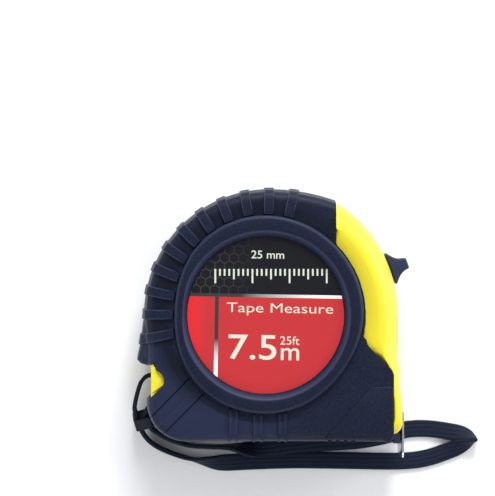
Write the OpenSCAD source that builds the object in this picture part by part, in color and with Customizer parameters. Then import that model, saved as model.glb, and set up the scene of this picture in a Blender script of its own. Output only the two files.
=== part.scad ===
// Pocket tape measure, 7.5 m x 25 mm: two case halves in a rubber jacket, a sprung reel,
// a cambered blade with a sliding end hook, a thumb lock and a hand strap.
// The part lies on its back: X runs out of the blade's mouth, Y up to the crown of the case,
// Z out of the front label. Sizes are in millimetres.
// Outlines are drawn about the reel's axis, and each half about the parting plane.

/* [Case] */
// Thickness of the whole case, over both rings
case_t = 42; // [40:1:50]
// Radius of the case's front arc, about the reel's axis
front_r = 41.9; // [41:0.1:46]
// Height of the crown above the reel's axis
crown_h = 38.8; // [38:0.1:42]
// Radius of the flatter arc over the crown
crown_r = 62; // [58:1:80]
// Radius of the round back of the case
back_r = 38.8; // [38:0.1:42]
// How far the round back's centre lies in front of the reel's axis
back_x = 1.2; // [0:0.1:3]
// Depth of the flat base below the reel's axis
base_h = 39.3; // [39:0.1:44]
// Distance from the reel's axis back to the straight rear wall
heel_x = 36.7; // [36:0.1:42]
// Radius of the heel, between the base and the rear wall
heel_r = 11.5; // [8:0.5:16]
// Distance from the reel's axis to the flat face of the nose
nose_x = 42.6; // [42:0.1:48]
// Depth of the nose's upper corner below the reel's axis
nose_top = 17; // [14:0.5:20]
// Radius of the corner under the nose
nose_r = 4.5; // [1:0.5:6]
// Wall of the case halves
wall = 2.2; // [1.6:0.1:3]

/* [Jacket] */
// Thickness of the rubber jacket on the sides
jacket_t = 1.6; // [1.2:0.1:2.5]
// How far the jacket stands proud of the bare case
jacket_proud = 0.8; // [0.4:0.1:1.2]
// Thickness of the rubber jacket on the faces
face_t = 2; // [1.5:0.1:3]
// Outer radius of the raised ring
ring_r = 30.6; // [29:0.1:33]
// Inner radius of the raised ring
ring_in_r = 26; // [25:0.1:28]
// Height of the raised ring above the face
ring_h = 2; // [1:0.1:3]
// Radius of the label
label_r = 24.3; // [20:0.1:25]
// Thickness of the label
label_t = 0.5; // [0.3:0.1:1]
// Distance from the reel's axis to the jacket's straight front edge
window_x = 21.9; // [20:0.1:26]
// Distance from the reel's axis to the jacket's edge behind the nose
cheek_x = 39.8; // [38:0.1:41]
// Reach of the thumb pad behind the reel's axis
pad_x = 40.6; // [39:0.1:44]

/* [Blade] */
// Width of the blade
blade_w = 25; // [19:1:27]
// Thickness of the blade
blade_t = 0.15; // [0.12:0.01:0.3]
// Depth of the blade's camber
camber = 2; // [1:0.1:3]
// Depth of the blade's middle below the reel's axis
blade_y = 31.4; // [31:0.1:33]
// Outer radius of the wound blade
coil_r = 29.6; // [26:0.1:30]
// Thickness of the hook's plate
hook_t = 0.6; // [0.5:0.1:1.2]
// Depth of the hook's lower edge below the reel's axis
hook_low = 44.8; // [42:0.1:48]
// Depth of the hook's upper edge below the reel's axis
hook_high = 28.6; // [27:0.1:30]
// Slide of the hook on its rivets, equal to its own thickness for a true zero
hook_play = 0.6; // [0.5:0.1:1.2]
// Radius of a rivet's shank
rivet_r = 1; // [0.8:0.1:1.4]

/* [Reel] */
// Radius of the reel's side plates
flange_r = 31; // [30:0.1:31.5]
// Thickness of a side plate
flange_t = 1; // [0.8:0.1:1.5]
// Outer radius of the hub
hub_r = 22; // [20:0.5:24]
// Wall of the hub
hub_wall = 3; // [2:0.5:4]
// Radius of the bearing bosses in the case halves
boss_r = 6; // [5:0.5:8]
// Radius of the fixed post
post_r = 3; // [2.5:0.1:4]
// Running clearance of the reel on its bosses
run_gap = 0.06; // [0.02:0.01:0.1]
// Thickness of the power spring's strip
spring_t = 0.5; // [0.3:0.1:0.8]
// Turns of the power spring
spring_turns = 6; // [4:1:8]

/* [Lock] */
// Angle of the button above the reel's axis at rest
lock_a = 20; // [18:1:24]
// Travel of the lock, in degrees about the reel's axis
lock_travel = 13; // [8:1:14]
// Radial depth of the lock's arm
arm_t = 2.4; // [2:0.1:3]
// Width of the lock's arm and button
lock_w = 16; // [12:1:20]
// Reach of the button's tip from the case
button_h = 5.7; // [4:0.1:7]

/* [Fasteners and strap] */
// Radius of the case screws' circle
screw_circle = 34.5; // [34:0.1:36]
// Radius of a screw's shank
screw_r = 1.2; // [1:0.1:1.5]
// Radius of a screw's head
head_r = 2.3; // [2:0.1:2.6]
// Height of a screw's head
head_t = 1.5; // [1:0.1:2]
// Width of the hand strap
strap_w = 5.5; // [4:0.5:7]
// Thickness of the hand strap
strap_t = 1.3; // [1:0.1:1.6]
// Radius of the bar that the strap loops round
bar_r = 1.4; // [1:0.1:1.8]

/* [Hidden] */
$fn = 96;

// heights above the parting plane
half_t = case_t / 2;
face_z = half_t - ring_h;
shell_z = face_z - face_t;
inner_z = shell_z - wall;
label_z = face_z - 0.4;
skin_gap = 0.05;
shell_in = jacket_t - jacket_proud;
flush = 0.4;
window_gap = 0.4;
head_gap = 0.2;
seat_t = 0.6;
join_gap = 0.03;
side_gap = 0.4;
flange_z = inner_z - side_gap - flange_t;
cut = 100;

// the part's origin: under the middle of its box, on the surface it lies on
tip_r = front_r + button_h;
tip_half = 1.9;
flank_y = 7.6;
pad_y = -12.8;
pad_r = 3.5;
box_x = (tip_r * cos(lock_a) + tip_half * sin(lock_a) - pad_x) / 2;
box_y = (crown_h + jacket_proud - hook_low) / 2;

// lock
arm_out_r = front_r - shell_in - wall - 0.7;
arm_in_r = arm_out_r - arm_t;
arm_low_a = -32;
arm_high_a = lock_a + 6;
stem_a = 3.5;
slot_gap_a = 0.8;
stem_w = lock_w - 5;
button_half_a = 7.4;
shoe_r = arm_out_r + 1.4;

// mouth
tongue_start = 6;
mouth_gap = 0.8;
blade_edge_y = camber - blade_y;
camber_r = (pow(blade_w / 2, 2) + camber * camber) / (2 * camber);
leg_len = 13;
leg_w = 15;
leg_y = -blade_y - blade_t - 0.05;
rivet_x = [nose_x - 4, nose_x - 10];
rivet_z = [-5, 5];
rivet_head_r = rivet_r + 0.7;
rivet_head_t = 0.5;
rivet_gap = 0.02;
lip_t = 2;
lip_side = 1.4;
lip_len = nose_x - cheek_x - 0.1;
nose_ramp = 2.5;
bumper_t = 2;
bumper_len = 3.4;
bumper_back = 4.5;
hook_gap = 0.1;

// strap anchor at the heel
bar_at = [-30.3, -26];
strap_legs = [[-34.4, -21, -32], [-36, -30.4, 32]];
strap_hole_len = 11;
notch_at = [-36, -20.4];
notch_r = 4.6;
strap_z = 9.4;
strap_hole = [strap_w + 3, strap_t + 1.6];
screw_angles = [62, 135, 225];
keeper_at = [-39.4, -34.65, 6.25];
keeper_turn = [21.5, 0, 15.5];
keeper_pitch = 3.3;
keeper_len = 4;

// centreline of the hand strap: x, y and z above the surface, then the roll of its width
strap_route = [
    [-31.2, -24, 9.4, 90], [-33.6, -21.4, 9.4, 90], [-37, -20, 9.4, 90], [-39.6, -21.8, 9.2, 90],
    [-41, -25.4, 8.6, 90], [-42, -30, 7.9, 90], [-41.7, -32.6, 7.1, 90], [-40.6, -36.6, 5.4, 90],
    [-38.6, -40.4, 3.8, 90], [-35.4, -43.3, 2.9, 90], [-30, -45.8, 2.8, 90], [-24, -47.6, 2.8, 86],
    [-18.4, -48.5, 2.3, 55], [-13, -48.9, 1.2, 15], [-4, -48.5, 0.7, 0], [10, -48.1, 0.7, 0],
    [27, -48.3, 0.7, 0], [43, -48.5, 0.7, 0], [52, -47.6, 0.7, 0], [60, -45, 0.9, 8], [65.2, -42.8, 2, 50],
    [68.4, -41.2, 2.8, 90], [65.6, -39.9, 2.1, 50], [60.5, -38.9, 0.9, 8], [53, -37.9, 0.7, 0],
    [46, -38.2, 0.7, 0], [39, -40.2, 0.7, 0], [30, -41.8, 0.7, 0], [18, -42.6, 0.7, 0],
    [8, -43.6, 0.7, 0], [0, -44.6, 0.8, 5], [-5.5, -44.5, 1.6, 40], [-11, -43.8, 2.7, 80],
    [-18, -43.6, 2.8, 90], [-25, -43.1, 2.8, 90], [-31.4, -41, 3, 90], [-34.9, -38.9, 3.9, 90],
    [-37.1, -36.8, 5.4, 90], [-38.3, -32.6, 7.1, 90], [-37.3, -30.9, 8.6, 90], [-34.6, -29.6, 9.2, 90],
    [-31.8, -28, 9.4, 90]
];

// ---- outlines ----

// a plate with its two lower corners rounded; g grows it on every side
module lower_2d(g) {
    corner = max(0.3, nose_r + g);
    heel = heel_r + g;
    low = -base_h - g;
    translate([-heel_x - g, low + heel]) square([heel_x + g + back_x, base_h + g - heel]);
    translate([-heel_x - g + heel, low]) square([heel_x + nose_x + 2 * g - heel - corner, 20]);
    translate([-heel_x - g + heel, low + heel]) circle(r = heel);
    translate([0, low + corner]) square([nose_x + g, base_h - nose_top + 2 * g - corner]);
    translate([nose_x + g - corner, low + corner]) circle(r = corner);
    polygon([[0, 0], [front_r + g, 0], [front_r + g, nose_ramp - nose_top + g],
             [nose_x + g, g - nose_top], [nose_x + g, g - nose_top - 1], [0, g - nose_top - 1]]);
}

// the bare case's outline about the reel's axis
module case_2d(g) {
    translate([back_x, 0]) circle(r = back_r + g);
    intersection() {
        circle(r = front_r + g);
        translate([back_x, crown_h - crown_r]) circle(r = crown_r + g);
        translate([back_x, -base_h]) square([cut, cut]);
    }
    intersection() {
        lower_2d(g);
        translate([-cut, -cut]) square([2 * cut, cut]);
    }
}

// where the case shows bare between the jacket's edges: the front arc and the nose
module window_2d() {
    difference() {
        polygon([[window_x, cut], [cut, cut], [cut, -cut], [cheek_x, -cut],
                 [cheek_x, -nose_top - 0.4], [ring_r + window_gap, -8.5], [window_x, -8.5]]);
        circle(r = ring_r + window_gap);
    }
}

// the thumb pad: a ramp behind the case that ends in a round step
module pad_2d() {
    translate([pad_r - pad_x, pad_y]) circle(r = pad_r);
    polygon([[0, 0], [-back_r - jacket_proud + back_x, 0], [-pad_x, pad_y], [0, pad_y]]);
}

// the bay in the jacket where the strap goes in
module notch_2d() {
    translate(notch_at) circle(r = notch_r);
}

// a slab from z = a to z = b of the outline drawn as its child
module slab(a, b) {
    translate([0, 0, a]) linear_extrude(height = b - a) children();
}

// a sector of a ring about the reel's axis
module sector(r1, r2, a1, a2, h) {
    rotate([0, 0, a1]) rotate_extrude(angle = a2 - a1) translate([r1, -h / 2]) square([r2 - r1, h]);
}

// moves what is drawn about the parting plane to its place in the part
module front_half() {
    translate([-box_x, -box_y, half_t]) children();
}

module rear_half() {
    front_half() mirror([0, 0, 1]) children();
}

module at_screws() {
    for (a = screw_angles) rotate([0, 0, a]) translate([screw_circle, 0, 0]) children();
}

// ---- case ----

module cavity() {
    difference() {
        slab(-1, inner_z) case_2d(-shell_in - wall);
        at_screws() translate([0, 0, -2]) cylinder(r = head_r + 2 * head_gap, h = cut);
        translate([0, 0, flange_z]) cylinder(r = boss_r, h = cut);
    }
}

module mouth_cut() {
    low = leg_y - hook_t - mouth_gap;
    high = blade_edge_y + mouth_gap;
    translate([nose_x - 8, low, -1]) cube([cut, high - low, blade_w / 2 + mouth_gap + 1]);
}

module bumper_cut(g) {
    translate([nose_x - bumper_back - g, blade_edge_y + mouth_gap, -1])
        cube([bumper_len + 2 * g, bumper_t + g, blade_w / 2 + 1 + g]);
}

module lip_cut(g) {
    translate([nose_x - lip_len - g, -base_h - 1, -1])
        cube([cut, 1 + lip_t + g, blade_w / 2 + lip_side + g]);
}

// one moulded half, from the parting plane out
module half_shell() {
    difference() {
        union() {
            slab(join_gap, shell_z) case_2d(-shell_in);
            slab(join_gap, face_z - flush) intersection() {
                case_2d(0);
                window_2d();
            }
            slab(shell_z - 1, face_z - flush) intersection() {
                case_2d(-shell_in);
                notch_2d();
            }
            slab(shell_z - 1, label_z - label_t) circle(r = label_r);
        }
        cavity();
        mouth_cut();
        bumper_cut(skin_gap);
        lip_cut(skin_gap);
        sector(arm_in_r, cut, lock_a - stem_a - lock_travel - slot_gap_a,
               lock_a + stem_a + slot_gap_a, stem_w + 1);
    }
}

module half_grip() {
    difference() {
        union() {
            slab(join_gap, face_z) {
                case_2d(jacket_proud);
                pad_2d();
            }
            slab(face_z - 1, half_t) circle(r = ring_r);
        }
        slab(-1, shell_z + skin_gap) case_2d(-shell_in + skin_gap);
        slab(-1, cut) {
            window_2d();
            notch_2d();
            circle(r = label_r + 0.2);
        }
        slab(face_z, cut) circle(r = ring_in_r);
        lip_cut(skin_gap);
        sector(arm_in_r, cut, lock_a - button_half_a - lock_travel - 1,
               lock_a + button_half_a + 1, lock_w + 1);
    }
}

// the two legs of the strap pass through the rear half's wall beside the bar
module strap_holes() {
    for (leg = strap_legs) translate([leg[0], leg[1], half_t - strap_z])
        rotate([0, 0, leg[2]]) cube([strap_hole_len, strap_hole[1], strap_hole[0]], center = true);
}

module screw_holes() {
    at_screws() {
        translate([0, 0, -1]) cylinder(r = screw_r + 0.1, h = cut);
        translate([0, 0, inner_z + seat_t]) cylinder(r = head_r + head_gap, h = cut);
    }
    translate([0, 0, flange_z - 1]) cylinder(r = screw_r + 0.1, h = cut);
    translate([0, 0, shell_z - seat_t]) cylinder(r = head_r + head_gap, h = cut);
}

module front_shell() {
    color("gold") front_half() difference() {
        half_shell();
        at_screws() translate([0, 0, -1]) cylinder(r = screw_r, h = inner_z - 1);
    }
}

module rear_shell() {
    color("gold") rear_half() difference() {
        half_shell();
        screw_holes();
        strap_holes();
        translate([bar_at[0], bar_at[1], 0]) cylinder(r = bar_r, h = inner_z + 1);
    }
}

module front_grip() {
    color("#262a3c") front_half() half_grip();
}

module rear_grip() {
    color("#262a3c") rear_half() difference() {
        half_grip();
        screw_holes();
        strap_holes();
    }
}

module label() {
    slab(label_z - label_t, label_z) circle(r = label_r);
}

module front_label() {
    color("crimson") front_half() label();
}

module rear_label() {
    color("#262a3c") rear_half() label();
}

// ---- reel ----

module axle_post() {
    color("silver") front_half() difference() {
        translate([0, 0, -flange_z + join_gap])
            cylinder(r = post_r, h = 2 * (flange_z - join_gap));
        translate([0, -spring_t, -flange_z + 4]) cube([post_r + 1, 2 * spring_t, 2 * flange_z - 6]);
        translate([0, 0, -flange_z - 1]) cylinder(r = screw_r + rivet_gap, h = 13);
    }
}

module reel_hub() {
    color("ivory") front_half() difference() {
        translate([0, 0, -flange_z]) cylinder(r = hub_r, h = 2 * flange_z);
        translate([0, 0, -flange_z - 1]) cylinder(r = hub_r - hub_wall, h = 2 * flange_z + 2);
    }
}

module flange() {
    difference() {
        slab(flange_z, flange_z + flange_t) circle(r = flange_r);
        slab(flange_z - 1, cut) circle(r = boss_r + run_gap);
    }
}

module reel_front_flange() {
    color("ivory") front_half() flange();
}

module reel_rear_flange() {
    color("ivory") rear_half() flange();
}

spring_in = post_r + 0.25;
spring_out = hub_r - hub_wall - spring_t - 0.2;
spring_steps = spring_turns * 20;
function spring_at(i, d) =
    let (r = spring_in + d + (spring_out - spring_in) * i / spring_steps, a = i * 18)
    [r * cos(a), r * sin(a)];

module power_spring() {
    color("steelblue") front_half() slab(-flange_z + 1, flange_z - 1) polygon(concat(
        [for (i = [0 : spring_steps]) spring_at(i, 0)],
        [for (i = [spring_steps : -1 : 0]) spring_at(i, spring_t)]));
}

module blade_coil() {
    color("khaki") front_half() difference() {
        translate([0, 0, -blade_w / 2]) cylinder(r = coil_r, h = blade_w);
        translate([0, 0, -blade_w]) cylinder(r = hub_r + skin_gap, h = 2 * blade_w);
    }
}

// ---- blade and hook ----

// turns an outline in y and z so that it is extruded along x from x1 to x2
module along_x(x1, x2) {
    translate([x1, 0, 0]) rotate([90, 0, 90]) linear_extrude(height = x2 - x1) children();
}

module camber_2d() {
    intersection() {
        translate([camber_r - blade_y, 0]) difference() {
            circle(r = camber_r, $fn = 360);
            circle(r = camber_r - blade_t, $fn = 360);
        }
        translate([-cut, -blade_w / 2]) square([cut, blade_w]);
    }
}

module rivet_holes(r, stretch) {
    for (x = rivet_x, z = rivet_z) translate([x, 0, z]) rotate([90, 0, 0]) {
        cylinder(r = r, h = cut);
        if (stretch > 0) {
            translate([-stretch, 0, 0]) cylinder(r = r, h = cut);
            translate([-stretch, -r, 0]) cube([stretch, 2 * r, cut]);
        }
    }
}

module blade_tongue() {
    color("khaki") front_half() difference() {
        along_x(tongue_start, nose_x - 0.4) camber_2d();
        rivet_holes(rivet_r, 0);
    }
}

// a plate across the mouth, and a leg that runs back under the blade
module end_hook() {
    color("silver") front_half() difference() {
        union() {
            translate([nose_x + hook_gap, -hook_low, -blade_w / 2])
                cube([hook_t, hook_low - hook_high, blade_w]);
            translate([nose_x + hook_gap - leg_len, leg_y - hook_t, -leg_w / 2])
                cube([leg_len + 0.1, hook_t, leg_w]);
        }
        rivet_holes(rivet_r + skin_gap, hook_play);
    }
}

module hook_rivets() {
    reach = abs(rivet_z[0]) + rivet_head_r;
    sag = camber_r - sqrt(camber_r * camber_r - reach * reach);
    seat = sag - blade_y + blade_t + rivet_gap;
    low = leg_y - hook_t - rivet_gap;
    color("silver") front_half() for (x = rivet_x, z = rivet_z) {
        translate([x, seat + rivet_head_t, z]) rotate([90, 0, 0])
            cylinder(r = rivet_head_r, h = rivet_head_t);
        translate([x, seat + 0.1, z]) rotate([90, 0, 0])
            cylinder(r = rivet_r - rivet_gap, h = seat - low + 0.2);
        translate([x, low, z]) rotate([90, 0, 0]) cylinder(r = rivet_head_r, h = rivet_head_t);
    }
}

module mouth_bumper() {
    color("#262a3c") front_half() difference() {
        union() {
            bumper_cut(0);
            mirror([0, 0, 1]) bumper_cut(0);
        }
        translate([0, 0, cut + blade_w]) cube(cut * 2, center = true);
    }
}

module mouth_lip() {
    color("#1c1e26") front_half() intersection() {
        union() {
            lip_cut(0);
            mirror([0, 0, 1]) lip_cut(0);
        }
        translate([0, -base_h - jacket_proud, -cut]) cube([nose_x - 0.5, cut, 2 * cut]);
    }
}

// ---- lock ----

module lock_arm() {
    color("#303446") front_half()
        sector(arm_in_r, arm_out_r, arm_low_a, arm_high_a, lock_w);
}

module lock_shoe() {
    color("#4a4e5e") front_half()
        sector(arm_in_r - 1, shoe_r, arm_low_a - 4, arm_low_a - 0.05, lock_w);
}

// a saddle on the case, drawn in to a waist and flared again at the tip
module lock_button() {
    color("#20263e") front_half() rotate([0, 0, lock_a]) {
        sector(arm_out_r, front_r + 0.5, -stem_a, stem_a, stem_w);
        translate([0, 0, -lock_w / 2]) linear_extrude(height = lock_w) difference() {
            union() {
                intersection() {
                    translate([front_r - 2, -5.4]) square([6.6, 10.8]);
                    circle(r = front_r + 4.5);
                }
                translate([front_r + button_h - 1.6, -tip_half]) square([1.6, 2 * tip_half]);
            }
            circle(r = front_r + 0.15);
            for (s = [-1, 1]) translate([tip_r, s * flank_y]) circle(r = flank_y - tip_half);
        }
    }
}

// a leaf that clicks behind the end of the arm
module lock_detent_spring() {
    color("silver") front_half()
        sector(arm_in_r - 1.2, arm_in_r - 0.6, lock_a - 8, arm_high_a + 6, 6);
}

// ---- fasteners ----

module screw(len) {
    cylinder(r = head_r, h = head_t);
    translate([0, 0, -len]) cylinder(r = screw_r, h = len + 0.1);
}

module case_screws() {
    color("silver") rear_half() at_screws() translate([0, 0, inner_z + seat_t]) screw(inner_z + 9);
}

module post_screw() {
    color("silver") rear_half() translate([0, 0, shell_z - seat_t]) screw(shell_z - flange_z + 6);
}

// ---- hand strap ----

module strap_bar() {
    color("silver") front_half()
        translate([bar_at[0], bar_at[1], -inner_z - 1]) cylinder(r = bar_r, h = inner_z + 5);
}

function unit(v) = v / norm(v);
function spot(i) = [strap_route[i][0], strap_route[i][1], strap_route[i][2]];
last_ring = len(strap_route) - 1;
function heading(i) = unit(spot(min(i + 1, last_ring)) - spot(max(i - 1, 0)));
function level(t) = unit([-t[1], t[0], 0]);
ring_2d = [for (s = [[1, 0.5], [0.8, 1], [-0.8, 1], [-1, 0.5], [-1, -0.5], [-0.8, -1], [0.8, -1],
                     [1, -0.5]]) [s[0] * strap_w / 2, s[1] * strap_t / 2]];
function strap_ring(i) =
    let (t = heading(i), n = level(t), u = cross(t, n), a = strap_route[i][3],
         across = cos(a) * n + sin(a) * u, up = cos(a) * u - sin(a) * n)
    [for (q = ring_2d) spot(i) + q[0] * across + q[1] * up];

module wrist_strap() {
    sides = len(ring_2d);
    color("#15171f") translate([-box_x, -box_y, 0]) polyhedron(
        points = [for (i = [0 : last_ring]) for (p = strap_ring(i)) p],
        faces = concat(
            [[for (k = [0 : sides - 1]) k]],
            [for (i = [0 : last_ring - 1]) for (k = [0 : sides - 1])
                [i * sides + k, (i + 1) * sides + k, (i + 1) * sides + (k + 1) % sides,
                 i * sides + (k + 1) % sides]],
            [[for (k = [sides - 1 : -1 : 0]) last_ring * sides + k]]),
        convexity = 10);
}

// a sleeve that holds both legs of the strap together
module strap_keeper() {
    inner = [keeper_pitch + strap_t + 0.5, keeper_len + 1, strap_w + 1];
    color("#101218") translate(keeper_at - [box_x, box_y, 0]) rotate(keeper_turn)
        difference() {
            cube([inner[0] + 0.8, keeper_len, inner[2] + 0.8], center = true);
            cube(inner, center = true);
        }
}

front_shell();
rear_shell();
front_grip();
rear_grip();
front_label();
rear_label();
axle_post();
reel_hub();
reel_front_flange();
reel_rear_flange();
power_spring();
blade_coil();
blade_tongue();
end_hook();
hook_rivets();
lock_button();
lock_arm();
lock_shoe();
lock_detent_spring();
mouth_bumper();
mouth_lip();
case_screws();
post_screw();
strap_bar();
wrist_strap();
strap_keeper();
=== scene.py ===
import math

import bmesh
import bpy
from bpy.props import FloatProperty, FloatVectorProperty, PointerProperty
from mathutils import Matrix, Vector, noise


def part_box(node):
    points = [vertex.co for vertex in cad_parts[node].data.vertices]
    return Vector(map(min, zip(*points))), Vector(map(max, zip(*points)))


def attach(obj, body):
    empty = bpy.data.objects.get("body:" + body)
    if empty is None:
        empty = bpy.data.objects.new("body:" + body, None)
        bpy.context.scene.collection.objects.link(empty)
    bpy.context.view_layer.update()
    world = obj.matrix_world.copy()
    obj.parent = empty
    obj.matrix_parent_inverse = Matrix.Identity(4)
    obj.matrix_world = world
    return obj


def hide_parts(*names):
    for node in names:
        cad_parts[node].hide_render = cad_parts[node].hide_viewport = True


bl_info = {
    "name": "Pocket Tape Measure",
    "version": (1, 0, 0),
    "blender": (4, 5, 0),
    "location": "View3D > Sidebar > Tape Measure",
    "description": "Builds the jacket, case, label, lock, hook and strap of a pocket tape measure",
    "category": "Add Mesh",
}

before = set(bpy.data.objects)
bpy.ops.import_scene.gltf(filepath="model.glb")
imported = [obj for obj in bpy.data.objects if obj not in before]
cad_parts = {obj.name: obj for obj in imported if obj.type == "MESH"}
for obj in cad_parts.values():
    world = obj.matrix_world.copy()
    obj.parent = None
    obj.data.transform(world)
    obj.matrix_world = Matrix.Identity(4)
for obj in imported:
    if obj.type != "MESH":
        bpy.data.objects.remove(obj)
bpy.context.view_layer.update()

# Sizes below are in millimetres about the reel's axis, and heights are above the parting plane.
MM = 0.001
LABEL_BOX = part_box("front_label")
COIL_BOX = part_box("blade_coil")
AXIS_X = (LABEL_BOX[0].x + LABEL_BOX[1].x) / 2 / MM
AXIS_Y = (LABEL_BOX[0].y + LABEL_BOX[1].y) / 2 / MM
MID_Z = (COIL_BOX[0].z + COIL_BOX[1].z) / 2 / MM
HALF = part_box("front_grip")[1].z / MM - MID_Z
LABEL_R = (LABEL_BOX[1].x - LABEL_BOX[0].x) / 2 / MM
LABEL_H = LABEL_BOX[1].z / MM - MID_Z
LABEL_TILT = 1.0
INK_H, INK_FOOT = LABEL_H + 0.03, LABEL_H - 0.02

# The bare case's outline, as the part's own drawing has it
FRONT_R, CROWN_H, CROWN_R = 41.9, 38.8, 62.0
BACK_R, BACK_X = 38.8, 1.2
BASE_H, HEEL_X, HEEL_R = 39.3, 36.7, 11.5
NOSE_X, NOSE_TOP, NOSE_R, NOSE_RAMP = 42.6, 17.0, 4.5, 2.5
NOSE_LOW = 37.2
WINDOW_X, CHEEK_X = 21.9, 39.8
RING_FOOT = 30.8
SIDE_LEAN = 1.2
PAD_TIP, PAD_Y = 40.6, -12.8
FACE_H = HALF - 2
SHELL_H = FACE_H - 2
INNER_H = SHELL_H - 2.2
SEAM_H = 0.03
NOTCH = [(-36.3, -15.7), (-33.9, -17.0), (-32.3, -18.2), (-31.6, -19.6), (-31.5, -21.0),
         (-32.4, -22.5), (-34.0, -24.0), (-36.3, -25.6)]
LOCK_ANGLE = 20.0
LIP_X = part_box("mouth_lip")[0].x / MM - AXIS_X
SCREW_ANGLES = (62, 135, 225)
SCREW_R = 34.5

# The strap's route: x, y and z above the surface, then the roll of its width in degrees
STRAP_ROUTE = [
    (-31.2, -24, 9.4, 90), (-33.6, -21.4, 9.4, 90), (-37, -20, 9.4, 90), (-39.6, -21.8, 9.2, 90),
    (-41, -25.4, 8.6, 90), (-42, -30, 7.9, 90), (-41.7, -32.6, 7.1, 90), (-40.6, -36.6, 5.4, 90),
    (-38.6, -40.4, 3.8, 90), (-35.4, -43.3, 2.9, 90), (-30, -45.8, 2.8, 90), (-24, -47.6, 2.8, 86),
    (-18.4, -48.5, 2.3, 55), (-13, -48.9, 1.2, 15), (-4, -48.5, 0.7, 0), (10, -48.1, 0.7, 0),
    (27, -48.3, 0.7, 0), (43, -48.5, 0.7, 0), (52, -47.6, 0.7, 0), (60, -45, 0.9, 8),
    (65.2, -42.8, 2, 50), (68.4, -41.2, 2.8, 90), (65.6, -39.9, 2.1, 50), (60.5, -38.9, 0.9, 8),
    (53, -37.9, 0.7, 0), (46, -38.2, 0.7, 0), (39, -40.2, 0.7, 0), (30, -41.8, 0.7, 0),
    (18, -42.6, 0.7, 0), (8, -43.6, 0.7, 0), (0, -44.6, 0.8, 5), (-5.5, -44.5, 1.6, 40),
    (-11, -43.8, 2.7, 80), (-18, -43.6, 2.8, 90), (-25, -43.1, 2.8, 90), (-31.4, -41, 3, 90),
    (-34.9, -38.9, 3.9, 90), (-37.1, -36.8, 5.4, 90), (-38.3, -32.6, 7.1, 90),
    (-37.3, -30.9, 8.6, 90), (-34.6, -29.6, 9.2, 90), (-31.8, -28, 9.4, 90),
]


def place(x, y, z):
    """A point in metres, from millimetres about the reel's axis and above the surface."""
    return Vector(((AXIS_X + x) * MM, (AXIS_Y + y) * MM, z * MM))


def on_side(side, x, y, h):
    """A point of the front (side 1) or rear (side -1) half, at a height above the parting plane."""
    return place(x, y, MID_Z + side * h)


# ---- sizes and colours that a user would change ----

def length_prop(name, text, value):
    return FloatProperty(name=name, description=text, default=value * MM, min=0, unit="LENGTH",
                         precision=5)


def colour_prop(name, text, value):
    return FloatVectorProperty(name=name, description=text, default=value, size=3, min=0, max=1,
                               subtype="COLOR")


class TapeSizes(bpy.types.PropertyGroup):
    rib_rise: length_prop("Rib rise", "How far the grip ribs stand out", 0.95)
    rib_width: length_prop("Rib width", "Width of a grip rib", 2.8)
    jacket_round: length_prop("Jacket rounding", "Rounding of the jacket's outer edge", 2.8)
    case_round: length_prop("Case rounding", "Rounding of the bare case's edge", 6.0)
    strap_width: length_prop("Strap width", "Width of the hand strap", 5.5)
    strap_thickness: length_prop("Strap thickness", "Thickness of the hand strap", 1.3)
    strap_length: length_prop("Strap length", "Length of the hand strap's loop", 262)
    hook_bevel: length_prop("Hook edge", "Rounding of the hook's edges", 0.15)


class TapeColours(bpy.types.PropertyGroup):
    jacket: colour_prop("Jacket", "Rubber of the jacket", (0.0036, 0.0056, 0.0165))
    case: colour_prop("Case", "Bare plastic of the case", (0.66, 0.565, 0.017))
    lock: colour_prop("Lock", "Plastic of the lock", (0.014, 0.02, 0.055))
    label_red: colour_prop("Label red", "Main red of the label", (0.43, 0.026, 0.03))
    label_black: colour_prop("Label black", "Black of the label", (0.005, 0.005, 0.0075))
    strap: colour_prop("Strap", "Webbing of the hand strap", (0.003, 0.0055, 0.0135))


# ---- shader building ----

class Value:
    """A shader output; arithmetic on it adds the Math nodes."""

    def __init__(self, finish, socket):
        self.finish = finish
        self.socket = socket

    def math(self, operation, *others):
        inputs = dict(enumerate((self,) + others))
        return self.finish.node("ShaderNodeMath", {"operation": operation}, inputs)

    def __add__(self, other):
        return self.math("ADD", other)

    __radd__ = __add__

    def __sub__(self, other):
        return self.math("SUBTRACT", other)

    def __rsub__(self, other):
        return (self * -1) + other

    def __mul__(self, other):
        return self.math("MULTIPLY", other)

    __rmul__ = __mul__

    def __truediv__(self, other):
        return self.math("DIVIDE", other)

    def over(self, edge, blur):
        """1 where the value is above the edge, 0 below it, with a soft step."""
        return self.finish.node("ShaderNodeMapRange", {"interpolation_type": "SMOOTHSTEP"},
                                {0: self, 1: edge - blur, 2: edge + blur})


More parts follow.
